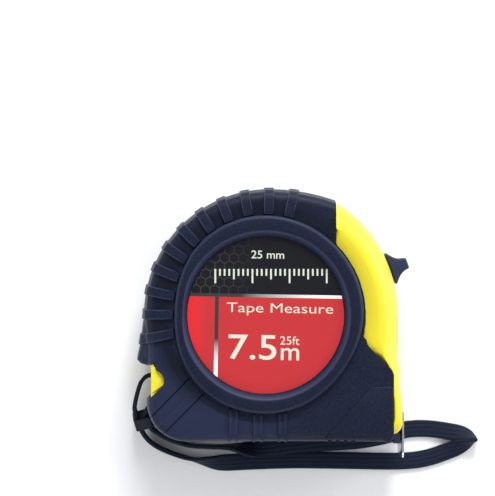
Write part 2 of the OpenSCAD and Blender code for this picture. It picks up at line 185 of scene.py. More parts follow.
class Finish:
    """A material under construction around one Principled shader."""

    def __init__(self, name):
        self.material = bpy.data.materials.new(name)
        self.material.use_nodes = True
        self.tree = self.material.node_tree
        self.shader = self.tree.nodes["Principled BSDF"]

    def node(self, kind, settings=None, inputs=None, output=0):
        made = self.tree.nodes.new(kind)
        for key, setting in (settings or {}).items():
            if key == "stops":
                ramp = made.color_ramp.elements
                while len(ramp) < len(setting):
                    ramp.new(1)
                for element, (position, colour) in zip(ramp, setting):
                    element.position = position
                    element.color = (*colour, 1)
            else:
                setattr(made, key, setting)
        self.feed(made, inputs or {})
        return Value(self, made.outputs[output])

    def feed(self, made, inputs):
        for key, value in inputs.items():
            socket = made.inputs[key]
            if isinstance(value, Value):
                self.tree.links.new(value.socket, socket)
            elif hasattr(socket.default_value, "__len__") and len(value) == 3 \
                    and len(socket.default_value) == 4:
                socket.default_value = (*value, 1)
            else:
                socket.default_value = value

    def set(self, **inputs):
        self.feed(self.shader, {key.replace("_", " "): value for key, value in inputs.items()})
        return self

    def coordinates(self, scale=1.0):
        """Object coordinates about the reel's axis, in millimetres times the scale."""
        spot = self.node("ShaderNodeTexCoord", output="Object")
        grow = scale / MM
        return self.node("ShaderNodeMapping", {}, {
            "Vector": spot, "Scale": (grow,) * 3,
            "Location": (-AXIS_X * scale, -AXIS_Y * scale, -MID_Z * scale)})

    def part(self, vector, axis):
        return self.node("ShaderNodeSeparateXYZ", {}, {0: vector}, output=axis)

    def noise(self, size, detail=2.0, rough=0.5, vector=None):
        """Noise from 0 to 1 with features of about that size in millimetres."""
        return self.node("ShaderNodeTexNoise", {}, {
            "Vector": vector or self.coordinates(), "Scale": 1 / size, "Detail": detail,
            "Roughness": rough})

    def honeycomb(self, x, y):
        """0 at the middle of each hexagon of a grid of unit pitch, rising to 0.5 at its edges."""

        def cell(shift):
            u = ((x + shift).math("FRACT") - 0.5).math("ABSOLUTE")
            v = ((y / 3 ** 0.5 + shift).math("FRACT") - 0.5).math("ABSOLUTE") * 3 ** 0.5
            return u.math("MAXIMUM", u * 0.5 + v * (3 ** 0.5 / 2))

        return cell(0).math("MINIMUM", cell(0.5))

    def mix(self, factor, first, second):
        return self.node("ShaderNodeMix", {"data_type": "RGBA"}, {0: factor, 6: first, 7: second},
                         output=2)

    def bump(self, height, depth, strength=1.0):
        """Feeds the shader's normal with a relief whose full height is a depth in millimetres."""
        relief = self.node("ShaderNodeBump", {}, {"Height": height, "Distance": depth * MM,
                                                  "Strength": strength})
        return self.set(Normal=relief)


def rubber(name, colour, grain=0.28, depth=0.05, rough=0.5, jacket=False):
    """Moulded rubber: a fine even grain, faint cloudy wear and a dusty bloom. On the jacket the
    edges of the ribs and the ring get a painted highlight, the valleys get painted shade, and
    the heel is painted paler than the ring, as if lit."""
    f = Finish(name)
    fine = f.noise(grain, 3)
    cloud = f.noise(9, 3, 0.6)
    speck = f.noise(0.6, 3, 0.7)
    worn = tuple(c * 2.4 + 0.003 for c in colour)
    shade = f.mix(cloud * 0.25 + speck.over(0.56, 0.1) * 0.5, colour, worn)
    if jacket:
        spot = f.coordinates()
        x, y = f.part(spot, 0), f.part(spot, 1)
        radius = (x * x + y * y).math("SQRT")
        raised = f.node("ShaderNodeAttribute", {"attribute_name": "raised"}, output="Fac")
        # rim: where the painted highlight lines run along the edges of the ribs and of the ring
        rim = f.node("ShaderNodeAttribute", {"attribute_name": "rim"}, output="Fac")
        # Painted light: the face of the heel beyond r 33.4 is made paler, as if it tilts towards
        # the light
        heel = radius.over(33.4, 0.3) * (1 - y.over(-8.0, 4.0)) * (1 - x.over(6.0, 10.0))
        # Painted shade: the valleys between the ribs next to the ring, on the upper left, are
        # darkened
        valley_shade = radius.over(30.4, 0.3) * (1 - radius.over(35.5, 2.5)) * (1 - raised)
        valley_shade = valley_shade * (y - x).over(-4.0, 14.0)
        shade = f.mix(heel * 0.75, shade, tuple(c * 2.8 + 0.004 for c in colour))
        shade = f.mix(valley_shade * 0.6, shade, tuple(c * 0.45 for c in colour))
        # Painted highlight: pale blue lines along the rib and ring edges
        shade = f.mix(rim * 0.6, shade, (0.06, 0.075, 0.155))
    f.set(Base_Color=shade)
    f.set(Roughness=cloud * 0.16 + fine * 0.1 + (rough - 0.12), Specular_IOR_Level=0.15)
    return f.bump(fine, depth, 0.55).material


def plastic(name, colour, rough=0.3, coat=0.0, sparkle=0.35):
    """Injection-moulded plastic: slow sink waves and a trace of moulding texture."""
    f = Finish(name)
    wave = f.noise(14, 2)
    fine = f.noise(sparkle, 2)
    deep = tuple(c * 0.93 for c in colour)
    f.set(Base_Color=f.mix(wave, colour, deep))
    f.set(Roughness=wave * 0.06 + fine * 0.06 + (rough - 0.06), Coat_Weight=coat,
          Coat_Roughness=0.3)
    return f.bump(fine, 0.012, 0.35).material


def metal(name, colour, rough=0.28, brushed=(0.4, 9.0, 9.0)):
    """Bare or plated steel with fine scratches along one way."""
    f = Finish(name)
    spot = f.node("ShaderNodeMapping", {}, {"Vector": f.coordinates(), "Scale": brushed})
    lines = f.noise(1.0, 3, 0.6, spot)
    stain = f.noise(5, 3)
    dull = tuple(c * 0.72 for c in colour)
    f.set(Base_Color=f.mix(stain * 0.5, colour, dull))
    f.set(Roughness=lines * 0.18 + (rough - 0.08), Metallic=1.0)
    return f.bump(lines, 0.01, 0.4).material


def enamel_scale(name):
    """Yellow enamelled blade with a millimetre scale along both edges."""
    f = Finish(name)
    spot = f.coordinates()
    along = f.part(spot, 0)
    across = f.part(spot, 2).math("ABSOLUTE")

    def marks(pitch, width, reach):
        near = (along / pitch).math("FRACT") * pitch
        return (1 - near.over(width, 0.03)) * across.over(reach, 0.03)

    ticks = marks(1, 0.22, 9.6).math("MAXIMUM", marks(5, 0.26, 8.2))
    ticks = ticks.math("MAXIMUM", marks(10, 0.32, 5.0))
    wear = f.noise(0.8, 4).over(0.66, 0.08)
    paint = f.mix(wear * 0.3, (0.85, 0.7, 0.05), (0.7, 0.62, 0.2))
    f.set(Base_Color=f.mix(ticks, paint, (0.02, 0.02, 0.02)))
    f.set(Roughness=wear * 0.2 + 0.22)
    return f.bump(f.noise(0.5), 0.01, 0.3).material


def webbing(name, colour):
    """Flat strap: a tight weave along and across, with a soft sheen at the edges."""
    f = Finish(name)
    along = f.node("ShaderNodeAttribute", {"attribute_name": "along"}, output="Fac")
    across = f.node("ShaderNodeAttribute", {"attribute_name": "across"}, output="Fac")
    warp = (across * (2 * math.pi / 0.55)).math("SINE")
    weft = (along * (2 * math.pi / 0.7)).math("SINE")
    weave = warp * weft * 0.5 + 0.5
    ridge = (across * (2 * math.pi / 1.35)).math("SINE") * 0.5 + 0.5
    fibre = f.noise(0.12, 3)
    lift = tuple(c * 2.6 + 0.004 for c in colour)
    f.set(Base_Color=f.mix(ridge * 0.45 + weave * 0.25 + fibre * 0.3, colour, lift))
    f.set(Roughness=fibre * 0.2 + 0.5, Specular_IOR_Level=0.1, Sheen_Weight=0.02,
          Sheen_Roughness=0.4)
    return f.bump(ridge * 1.5 + weave + fibre * 0.3, 0.08, 0.6).material


def label_print(name, red, black):
    """Printed film: a black cap with a faint honeycomb, red below, and fading silver lines."""
    f = Finish(name)
    spot = f.node("ShaderNodeMapping", {}, {"Vector": f.coordinates(),
                                            "Rotation": (0, 0, math.radians(LABEL_TILT))})
    x = f.part(spot, 0)
    y = f.part(spot, 1)
    blur = 0.05
    cap = y.over(6.1, blur)
    stripe = 1 - x.over(-15.9, blur)
    glow = (1 - x.over(-20.5, 3.0)) * 0.75
    ground = f.mix(stripe * glow, red, (0.78, 0.014, 0.022))
    shade = f.noise(16, 2)
    ground = f.mix(shade * 0.35, ground, tuple(c * 0.8 for c in red))
    cell = f.honeycomb(x / 2.9, y / 2.9)
    web = cell.over(0.455, 0.02) * (1 - x.over(-9.0, 10.0)) * 0.65
    top = f.mix(web, black, (0.055, 0.052, 0.045))
    inked = f.mix(cap, ground, top)
    across = y.over(5.55, blur) * (1 - y.over(6.55, blur))
    shine_x = f.node("ShaderNodeMapRange", {}, {0: x, 1: -8.0, 2: 18.0})
    inked = f.mix(across, inked, f.mix(shine_x, (0.03, 0.03, 0.032), (0.72, 0.76, 0.72)))
    down = x.over(-15.8, blur) * (1 - x.over(-14.6, blur)) * (1 - y.over(5.6, blur))
    shine_y = f.node("ShaderNodeMapRange", {}, {0: y, 1: -7.5, 2: -17.0})
    inked = f.mix(down, inked, f.mix(shine_y, (0.035, 0.03, 0.032), (0.85, 0.9, 0.92)))
    f.set(Base_Color=inked)
    grain = f.noise(0.35, 2)
    f.set(Roughness=grain * 0.1 + 0.34, Specular_IOR_Level=0.25)
    return f.bump(grain, 0.01, 0.3).material


def speckled(name, colour, rough=0.6):
    """Printed ink with a slightly uneven lay."""
    f = Finish(name)
    uneven = f.noise(0.5, 3)
    f.set(Base_Color=f.mix(uneven * 0.3, colour, tuple(c * 0.85 for c in colour)))
    f.set(Roughness=uneven * 0.15 + (rough - 0.1))
    return f.bump(uneven, 0.01, 0.3).material


def paper(name):
    """Pale studio floor with a barely visible tooth."""
    f = Finish(name)
    tooth = f.noise(2.0, 3)
    f.set(Base_Color=f.mix(tooth, (0.86, 0.86, 0.87), (0.83, 0.83, 0.84)))
    f.set(Roughness=tooth * 0.1 + 0.7)
    return f.bump(tooth, 0.02, 0.2).material


# ---- mesh building ----

def only(obj):
    """Selects one object and makes it active."""
    bpy.ops.object.select_all(action="DESELECT")
    obj.select_set(True)
    bpy.context.view_layer.objects.active = obj


def begin(name, add, **settings):
    """Adds a primitive by its operator, with nothing else selected, and names it."""
    bpy.ops.object.select_all(action="DESELECT")
    add(**settings)
    obj = bpy.context.object
    obj.name = name
    return obj


def edit_all(obj):
    """Goes into edit mode on one object, with all of it selected."""
    only(obj)
    bpy.ops.object.mode_set(mode="EDIT")
    bpy.ops.mesh.select_all(action="SELECT")


def settle(obj):
    """Takes a new piece's scale and place into its mesh."""
    bpy.ops.object.transform_apply(location=True, rotation=True, scale=True)
    return obj


def tidy_mesh(obj, smooth=35.0, outward=True):
    """Merges doubles, turns the faces outwards and smooths shallow edges."""
    edit_all(obj)
    bpy.ops.mesh.remove_doubles(threshold=1e-6)
    if outward:
        bpy.ops.mesh.normals_make_consistent(inside=False)
    bpy.ops.object.mode_set(mode="OBJECT")
    bpy.ops.object.shade_smooth_by_angle(angle=math.radians(smooth))
    return obj


def loft(name, loops, marks=None, smooth=35.0):
    """Extrudes a ring of vertices through the loops, all of one length, and merges what meets.
    marks holds functions of a loop's and a vertex's number, kept as attributes."""
    count = len(loops[0])
    obj = begin(name, bpy.ops.mesh.primitive_circle_add, vertices=count, radius=MM,
                fill_type="NOTHING")
    bpy.ops.object.mode_set(mode="EDIT")
    ring = list(range(count))
    for number, loop in enumerate(loops):
        if number:
            bpy.ops.mesh.extrude_edges_move()
        mesh = bmesh.from_edit_mesh(obj.data)
        mesh.verts.index_update()
        mesh.verts.ensure_lookup_table()
        if number:
            ring = [next(e.other_vert(mesh.verts[i]).index for e in mesh.verts[i].link_edges
                         if e.other_vert(mesh.verts[i]).select) for i in ring]
        layers = {key: mesh.verts.layers.float.get(key) or mesh.verts.layers.float.new(key)
                  for key in marks or {}}
        mesh.verts.ensure_lookup_table()
        for k, index in enumerate(ring):
            mesh.verts[index].co = loop[k]
            for key, layer in layers.items():
                mesh.verts[index][layer] = marks[key](number, k)
        bmesh.update_edit_mesh(obj.data)
    bpy.ops.object.mode_set(mode="OBJECT")
    return tidy_mesh(obj, smooth)


def apply(obj, kind, **settings):
    """Adds a modifier with these settings and applies it."""
    only(obj)
    modifier = obj.modifiers.new(kind.title(), kind)
    for key, value in settings.items():
        setattr(modifier, key, value)
    bpy.ops.object.modifier_apply(modifier=modifier.name)
    return obj


def prism(name, outline, to_low, to_high, bevel, segments=3, smooth=35.0):
    """A plate whose outline of 2-D points is set in space by two functions, with rounded edges."""
    obj = begin(name, bpy.ops.mesh.primitive_circle_add, vertices=len(outline), radius=MM,
                fill_type="NGON")
    for vertex, point in zip(obj.data.vertices, outline):
        vertex.co = to_low(*point)
    edit_all(obj)
    step = to_high(*outline[0]) - to_low(*outline[0])
    bpy.ops.mesh.extrude_region_move(TRANSFORM_OT_translate={"value": step})
    bpy.ops.mesh.select_all(action="SELECT")
    bpy.ops.mesh.normals_make_consistent(inside=False)
    bpy.ops.object.mode_set(mode="OBJECT")
    if bevel:
        apply(obj, "BEVEL", width=bevel * MM, segments=segments, limit_method="ANGLE",
              angle_limit=math.radians(40))
    return tidy_mesh(obj, smooth)


def cut(obj, tool):
    """Takes the tool's volume out of the piece and drops the tool."""
    apply(obj, "BOOLEAN", operation="DIFFERENCE", object=tool, solver="EXACT")
    bpy.data.objects.remove(tool, do_unlink=True)
    return obj


def join(name, pieces):
    """Joins the pieces into one object of that name."""
    bpy.ops.object.select_all(action="DESELECT")
    for piece in pieces:
        piece.select_set(True)
    bpy.context.view_layer.objects.active = pieces[0]
    if len(pieces) > 1:
        bpy.ops.object.join()
    pieces[0].name = name
    return pieces[0]


def finish_piece(obj, material, body, nodes=()):
    """Gives a piece its material and its body, and hides the nodes that it stands for."""
    obj.data.materials.clear()
    obj.data.materials.append(material)
    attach(obj, body)
    if nodes:
        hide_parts(*nodes)
    return obj


def dress(node, material):
    """Gives a node that stays as it is its material."""
    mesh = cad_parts[node].data
    mesh.materials.clear()
    mesh.materials.append(material)


# ---- outlines ----

def unit(angle):
    """The direction at an angle in degrees."""
    return math.cos(math.radians(angle)), math.sin(math.radians(angle))


def polar(r, angle):
    """The point at a radius and an angle in degrees."""
    x, y = unit(angle)
    return r * x, r * y


def clamp(value):
    """The value held between 0 and 1."""
    return min(1, max(0, value))


def rotated(x, y, angle):
    """A 2-D point turned about the origin by an angle in degrees."""
    c, s = unit(angle)
    return x * c - y * s, x * s + y * c


def circle_exit(u, x, y, r):
    """How far a ray from the axis goes before it leaves a circle."""
    b = u[0] * x + u[1] * y
    return b + math.sqrt(max(0, b * b - (x * x + y * y - r * r)))


def block_exit(u, grow):
    """How far a downward ray goes before it leaves the flat-based lower block."""
    low, left, heel = BASE_H + grow, HEEL_X + grow, HEEL_R + grow
    if grow == 0 and u[0] > 0:
        low = NOSE_LOW
    side, nose, corner = FRONT_R + grow, NOSE_X + grow, max(0.5, NOSE_R - 0.8 + grow)
    reach = low / -u[1]
    if u[0] < 0:
        reach = min(reach, left / -u[0])
        if reach * u[0] < heel - left and reach * u[1] < heel - low:
            reach = circle_exit(u, heel - left, heel - low, heel)
        return reach
    if u[0] > 0:
        upper = side / u[0]
        if upper * u[1] < NOSE_RAMP - NOSE_TOP:
            slope = (nose - side) / NOSE_RAMP
            run = side + slope * (NOSE_RAMP - NOSE_TOP)
            upper = min(run / (u[0] + slope * u[1]), nose / u[0]) if u[0] + slope * u[1] > 0 \
                else nose / u[0]
        reach = min(reach, upper)
        if reach * u[0] > nose - corner and reach * u[1] < corner - low:
            reach = circle_exit(u, nose - corner, corner - low, corner)
    return reach


def case_radius(angle, grow):
    """Distance from the axis to the bare case's outline, grown on every side."""
    u = unit(angle)
    reach = circle_exit(u, BACK_X, 0, BACK_R + grow)
    if u[0] > 0:
        arc = circle_exit(u, 0, 0, FRONT_R + grow)
        crown = circle_exit(u, BACK_X, CROWN_H - CROWN_R, CROWN_R + grow)
        reach = max(reach, min(arc, crown)) if u[1] > -0.001 else reach
    if u[1] < -0.001:
        reach = max(reach, block_exit(u, grow))
    return reach


def case_point(angle, grow):
    """A point of the bare case's outline, grown on every side."""
    return polar(case_radius(angle, grow), angle)


def ring_foot(angle):
    """Radius of the raised ring's foot, which draws in behind and below the nose."""
    foot = RING_FOOT - 0.2
    for middle, spread, change in ((95, 38, 0.5), (178, 36, -2.2), (-36, 30, -1.0)):
        off = (angle - middle + 180) % 360 - 180
        foot += change * math.exp(-(off / spread) ** 2)
    return foot


def lean(x, y, h):
    """How far the crowned side stands back from its widest line at a height."""
    share = clamp((-22 - y) / 6) if x > 38 else 0
    return SIDE_LEAN * (h / SHELL_H) ** 2 * (1 - share)


def angle_of(x, y):
    """Direction of a point from the axis, in degrees."""
    return math.degrees(math.atan2(y, x))


# ---- jacket ----

PROUD = 0.8
JACKET_T = 1.6
CHEEK_R = 2.5
# How deep the rounded edge is for its width, and how far a rib stands out there for its rise
EDGE_DEPTH = 0.85
EDGE_RIB = 0.55
ARC_RIBS = [77 + 11.4 * i for i in range(11)]
BASE_RIBS = [(-11.4, -8.7), (-3.9, -1.0), (4.0, 6.6)]
HEEL_GROOVES = [((-24.0, -19.7), (-35.9, -32.1)), ((-21.6, -22.2), (-33.6, -34.2)),
                ((-19.3, -24.5), (-31.1, -36.1))]


class Column:
    """One line of the jacket from the ring's foot, towards any point root, to its outer edge,
    then down the side. A column that isn't deep ends on the bare case's face, and sink is how
    far the edge lies in from the jacket's outline."""

    def __init__(self, root, edge, rise=0.0, deep=True, sink=0.0, rim=0.0):
        turn = angle_of(*root)
        self.root = Vector(unit(turn)) * ring_foot(turn)
        self.edge = Vector(edge)
        self.rise = rise
        self.rim = rim
        self.deep = deep
        self.sink = sink
        self.way = (self.root - self.edge).normalized()

    @property
    def turn(self):
        return angle_of(*self.edge) % 360


def arc_column(angle, rise=0.0, shift=0.0, rim=0.0):
    """A column at an angle; shift moves it sideways, so that a rib keeps its width."""
    root_angle = angle + math.degrees(shift / RING_FOOT)
    edge_angle = angle + math.degrees(shift / case_radius(angle, PROUD))
    return Column(unit(root_angle), case_point(edge_angle, PROUD), rise, rim=rim)


def drop_column(x, rise=0.0):
    """A column straight down the face to the base."""
    return Column((x, -math.sqrt(RING_FOOT ** 2 - x * x)), (x, -BASE_H - PROUD), rise)


def rib_columns(sizes):
    """The ribs over the crown and the back, and those down to the base."""
    rise, half, step = sizes.rib_rise / MM, sizes.rib_width / MM / 2, 0.28
    found = []
    for angle in ARC_RIBS:
        # rim sets the painted highlight along each rib's two edges, stronger on one side than the
        # other
        for shift, share, rim in ((-half - step, 0, 0), (-half, 1, 0.7), (0.25 - half, 1, 0),
                                  (0, 1, 0), (half - 0.25, 1, 0), (half, 1, 1),
                                  (half + step, 0, 0)):
            found.append(arc_column(angle, rise * share, shift, rim))
    for low, high in BASE_RIBS:
        for x, share in ((low - step, 0), (low, 1), (high, 1), (high + step, 0)):
            found.append(drop_column(x, rise * 0.8 * share))
    for root, edge in HEEL_GROOVES:
        deep = 0.45 if root != HEEL_GROOVES[1][0] else 0.18
        for shift, share in ((-0.26, 0), (0, 1), (0.26, 0)):
            a = Vector(root).normalized() * RING_FOOT
            b = Vector(edge)
            turn = Vector((-(b - a).y, (b - a).x)).normalized() * shift
            root_at = (a + turn).normalized() * RING_FOOT
            edge_at = case_point(angle_of(*(b + turn)), PROUD)
            found.append(Column(root_at, edge_at, -deep * share))
    return found


def window_columns():
    """The jacket's edge against the bare case: cheek, slope, ring and straight front edge."""
    border = [(CHEEK_X, y) for y in (-37.2, -33, -29, -25, -21, -18.4)]
    border += [(39.3, -17.1), (38.4, -16.0), (36, -13.7), (34, -11.7), (32.3, -10.0),
               (31.6, -8.9), (31.35, -7.8)]
    found = [Column(p, p, deep=False) for p in border]
    for i in range(25):
        angle = -12 + i * (44.2 + 12) / 24
        ragged = 0.16 * noise.noise(Vector((angle * 0.35, 3.1, 0)))
        found.append(Column(unit(angle), Vector(unit(angle)) * (RING_FOOT + 0.25 + ragged),
                            deep=False))
    tip = BACK_X, CROWN_H - CROWN_R, CROWN_R + PROUD
    tip_y = tip[1] + math.sqrt(tip[2] ** 2 - (WINDOW_X - tip[0]) ** 2)
    for y in (22.6, 23.6, 25, 27.5, 29.5):
        found.append(Column((WINDOW_X, y), (WINDOW_X, y), deep=False))
    for sink in (5.0, 4.2, 3.6, 3.1, 2.7, 2.3, 1.9, 1.5, 1.2, 0.9, 0.6, 0.3, 0.0):
        spot = (WINDOW_X, tip_y - sink)
        found.append(Column(spot, spot, deep=sink < 3, sink=sink))
    return found


def notch_columns():
    """The jacket's edge round the notch at its back."""
    return [Column(p, p, deep=False) for p in NOTCH[1:-1]]


def jacket_columns(sizes):
    """Every column in order round the axis, with plain ones where nothing else stands."""
    fixed = window_columns() + notch_columns() + rib_columns(sizes)
    for near, far in ((NOTCH[0], -1), (NOTCH[-1], 1)):
        fixed.append(Column(near, near))
        angle = angle_of(*near) + far * 0.25
        fixed.append(Column(unit(angle), case_point(angle, PROUD)))
    for turn in (-88, -68, -45, -22, -4):
        u = unit(turn)
        edge = (CHEEK_X + CHEEK_R * (u[0] - 1), -BASE_H - PROUD + CHEEK_R * (u[1] + 1))
        fixed.append(Column(edge, edge))
    fixed.sort(key=lambda c: c.turn)
    filled = []
    for here, after in zip(fixed, fixed[1:] + fixed[:1]):
        filled.append(here)
        gap = (after.turn - here.turn) % 360
        start = angle_of(*here.root)
        swing = (angle_of(*after.root) - start + 180) % 360 - 180
        if here.deep and after.deep and max(gap, swing) > 3:
            pieces = math.ceil(max(gap, swing) / 2.2)
            for i in range(1, pieces):
                share = i / pieces
                filled.append(Column(unit(start + swing * share),
                                     case_point(here.turn + gap * share, PROUD)))
    return filled


def pad_reach(x, y, h):
    """How far the thumb pad stands out of the side at a point of the outline."""
    if x > -30 or not PAD_Y - 3.0 < y < 0:
        return 0
    along = y / PAD_Y if y > PAD_Y else 1 - ((PAD_Y - y) / 3.0) ** 2
    height = clamp((15.0 - h) / 2.2)
    level = height * height * (3 - 2 * height)
    return max(0, PAD_TIP + x) * math.hypot(x, y) / -x * along * level


def jacket(name, side, sizes):
    """One half's jacket: raised ring, ribbed face, rounded edge and side wall."""
    columns = jacket_columns(sizes)
    full = sizes.jacket_round / MM
    hole = LABEL_R + 0.04
    shallow = SHELL_H - 0.8
    loops = []

    def add(point):
        loops.append([point(c) for c in columns])

    def ring_point(c, r, h):
        return on_side(side, *(c.root.normalized() * r), h)

    def brow(spot):
        """Height of the jacket's rounded edge above a point, for columns that cut across it."""
        off = case_radius(angle_of(*spot), PROUD) - spot.length - SIDE_LEAN
        if off < 0:
            return SHELL_H * math.sqrt(max(0, 1 + off / SIDE_LEAN))
        slope = max(0, 1 - off / full)
        return FACE_H - full * EDGE_DEPTH * (1 - math.sqrt(1 - slope * slope))

    def point_at(c, spot, h):
        return on_side(side, *spot, min(h, brow(spot)) if c.sink else h)

    def face_point(c, inward, h, out=0.0):
        reach = min(max(0, inward - c.sink), (c.root - c.edge).length * 0.9)
        return point_at(c, c.edge + c.way * reach + c.edge.normalized() * out, h)

    def round_of(c):
        length = (c.root - c.edge).length
        return min(full, length * 0.45) if c.deep else min(0.3, length * 0.4)

    def back(c, h):
        return lean(*c.edge, h) if c.deep else 0

    def wall_point(c, h):
        out = pad_reach(*c.edge, h) if c.deep else 0
        return face_point(c, back(c, h) + (0.35 if h == SEAM_H else 0), h if c.deep else shallow,
                          c.rise * EDGE_RIB + out)

    def inner_point(c, h):
        inward = c.sink + 0.4
        return face_point(c, max(JACKET_T + back(c, h), inward) if c.deep else inward,
                          h if c.deep else shallow)

    for r, h in ((hole, SHELL_H + 0.05), (hole, LABEL_H + 0.02), (hole + 0.25, LABEL_H + 0.3),
                 (25.75, HALF - 0.35), (26.1, HALF - 0.12), (26.6, HALF)):
        add(lambda c: ring_point(c, r, h))
    for short, h in ((2.6, HALF), (1.2, HALF - 0.03), (0.75, HALF - 0.14), (0.38, HALF - 0.4),
                     (0.13, HALF - 0.8), (0, FACE_H + 0.35), (0, FACE_H)):
        add(lambda c: ring_point(c, c.root.length - short, h))
    for share in (0.96, 0.6):
        add(lambda c: point_at(c, c.edge.lerp(c.root, share), FACE_H + c.rise))
    for turn in range(0, 91, 15):
        lay, drop = (1 - part for part in reversed(unit(turn)))
        add(lambda c: face_point(c, round_of(c) * lay + back(c, SHELL_H),
                                 FACE_H + c.rise - round_of(c) * drop * EDGE_DEPTH,
                                 c.rise * (1 - lay) * EDGE_RIB))
    for h in (14.6, 13.5, 12.2, 10.5, 6, 0.5, SEAM_H):
        add(lambda c: wall_point(c, h))
    for h in (SEAM_H, SHELL_H + 0.05):
        add(lambda c: inner_point(c, h))
    loops.append(loops[0])

    # How strong the painted highlight is on each loop: the ring's two edges, then the ribs from the
    # face outwards
    ring_edge_highlight = {3: 0.6, 4: 0.6, 8: 0.25, 9: 0.45, 10: 0.35}
    marks = {"rim": lambda i, k: columns[k].rim if 13 < i < 27 else ring_edge_highlight.get(i, 0),
             "raised": lambda i, k: clamp(columns[k].rise)}
    return loft(name, loops, marks, smooth=42)


def panel(side):
    """The raised plate at the foot of the nose, with its small teeth under the base."""
    low = SIDE_LEAN - BASE_H - PROUD
    outline = [(18.3, low + 0.6), (32.6, -22.3), (39.5, -22.0), (39.5, low + 3.1),
               (39.2, low + 2.0), (38.6, low + 1.1), (37.7, low + 0.6)]
    plate = prism("panel", outline, lambda x, y: on_side(side, x, y, FACE_H - 1),
                  lambda x, y: on_side(side, x, y, FACE_H + 0.32), 0.3)
    teeth = []
    for i in range(4):
        x = 19.3 + 2.45 * i
        tooth = [(x, 3), (x, 17.4), (x + 1.25, 17.4), (x + 1.25, 3)]
        teeth.append(prism("tooth", tooth, lambda u, h: on_side(side, u, low + 0.6, h),
                           lambda u, h: on_side(side, u, low - 0.55, h), 0.25))
    return [plate] + teeth


# ---- case halves ----

# How deep the case's domed edge is for its width
DOME_DEPTH = 0.9


def case_angles():
    """Angles round the case, closer together at its corners and at the jacket's borders."""
    found = {round(i * 2.0, 3) for i in range(180)}
    for low, high in ((-46, -38), (-24, -18), (56, 62), (200, 218), (214, 240), (305, 320)):
        found |= {round((low + i * 0.75) % 360, 3) for i in range(int((high - low) / 0.75) + 1)}
    return sorted(found)


def bare(angle):
    """How the case stands at an angle: (growth, plateau's inner radius) where it shows bare."""
    a = (angle + 180) % 360 - 180
    if -43.4 <= a <= 58.6:
        if a > 44.5:
            return 0, WINDOW_X / unit(a)[0] - 0.6
        if a < -23.4:
            return 0, CHEEK_X / unit(a)[0] - 0.6
        if a < -15.5:
            return 0, 31.0 + (a + 15.5) / (-23.4 + 15.5) * 11.6 - 0.8
        return 0, RING_FOOT - 0.3
    if 203.2 <= angle <= 216.2:
        return -0.75, 34.0 if 205 < angle < 214.5 else 37.0
    return -0.85, 30.0


def case_half(name, side, sizes):
    """One yellow half: domed front edge, side wall, parting edge and the hollow behind."""
    angles = case_angles()
    spec = [bare(a) for a in angles]
    shown = [grow > -0.8 for grow, _ in spec]
    open_side = [grow == 0 for grow, _ in spec]
    reach = [case_radius(a, grow) for a, (grow, _) in zip(angles, spec)]
    reach = [min(r, (CHEEK_X - 0.45) / unit(a)[0]) if 300 < a < 316.6 else r
             for a, r in zip(angles, reach)]
    top = [FACE_H - 0.35 if s else SHELL_H - 0.1 for s in shown]
    loops = []

    def loop(radii, heights):
        loops.append([on_side(side, *polar(r, a), h) for a, r, h in zip(angles, radii, heights)])

    def back(h):
        return [lean(*polar(r, a), h) * (0.35 if s and not o else 1)
                for a, r, s, o in zip(angles, reach, shown, open_side)]

    # The round starts part way down where the jacket's border comes close to the outline
    high = back(SHELL_H)
    full = sizes.case_round / MM
    rounds = [full * (0.5 + 0.5 * clamp(((a + 180) % 360 - 156) / 10)) if o else 0.4
              for a, o in zip(angles, open_side)]
    starts = [math.asin(max(0, 1 - max(0.1, r - b - inner) / f))
              for r, b, (_, inner), f in zip(reach, high, spec, rounds)]
    rims = [t - f * (1 - math.cos(a)) * DOME_DEPTH for t, f, a in zip(top, rounds, starts)]
    count = len(angles)
    loop([0] * count, [SHELL_H - 0.1] * count)
    loop([24] * count, [SHELL_H - 0.1] * count)
    loop([min(inner, r - b - 0.5) - 0.3 for r, b, (_, inner) in zip(reach, high, spec)],
         [min(SHELL_H - 0.1, rim - 0.05) for rim in rims])
    for share in (0, 0.12, 0.25, 0.38, 0.5, 0.62, 0.74, 0.85, 0.93, 1):
        turns = [s + (math.pi / 2 - s) * share for s in starts]
        loop([r - b - f * (1 - math.sin(t)) for r, b, f, t in zip(reach, high, rounds, turns)],
             [t - f * (1 - math.cos(a)) * DOME_DEPTH for t, f, a in zip(top, rounds, turns)])
    for h, inset in ((12, 0), (9, 0), (6, 0), (3, 0), (0.45, 0), (0.08, 0.3), (SEAM_H, 0.42)):
        loop([r - b - inset for r, b in zip(reach, back(h))], [h] * count)
    wall = [r - 3.0 - grow for r, (grow, _) in zip(reach, spec)]
    loop(wall, [SEAM_H] * count)
    loop(wall, [INNER_H] * count)
    loop([0] * count, [INNER_H] * count)
    return loft(name, loops, smooth=40)


def block(name, low, high):
    """A box between two corners in millimetres about the axis and above the surface."""
    a, b = place(*low), place(*high)
    obj = begin(name, bpy.ops.mesh.primitive_cube_add, size=1, location=(a + b) / 2)
    obj.scale = b - a
    return settle(obj)


def slot_tool():
    """The sector that the lock's stem travels in."""
    inner, outer, low, high, half = 36.0, 46.0, 2.7, 24.3, 6.0
    steps = [low + (high - low) * i / 12 for i in range(13)]
    outline = [polar(inner, a) for a in steps] + [polar(outer, a) for a in reversed(steps)]
    return prism("slot", outline, lambda x, y: place(x, y, MID_Z - half),
                 lambda x, y: place(x, y, MID_Z + half), 0)


def mouth_tool():
    """The opening that the blade leaves by."""
    return block("mouth", (NOSE_X - 8, -33.4, MID_Z - 13.3), (NOSE_X + 8, -28.6, MID_Z + 13.3))


def lip_tool():
    """The step under the nose that the lip sits in."""
    return block("lip_gap", (LIP_X - 0.05, -BASE_H - 2, MID_Z - 13.95),
                 (NOSE_X + 5, -BASE_H + 2.05, MID_Z + 13.95))


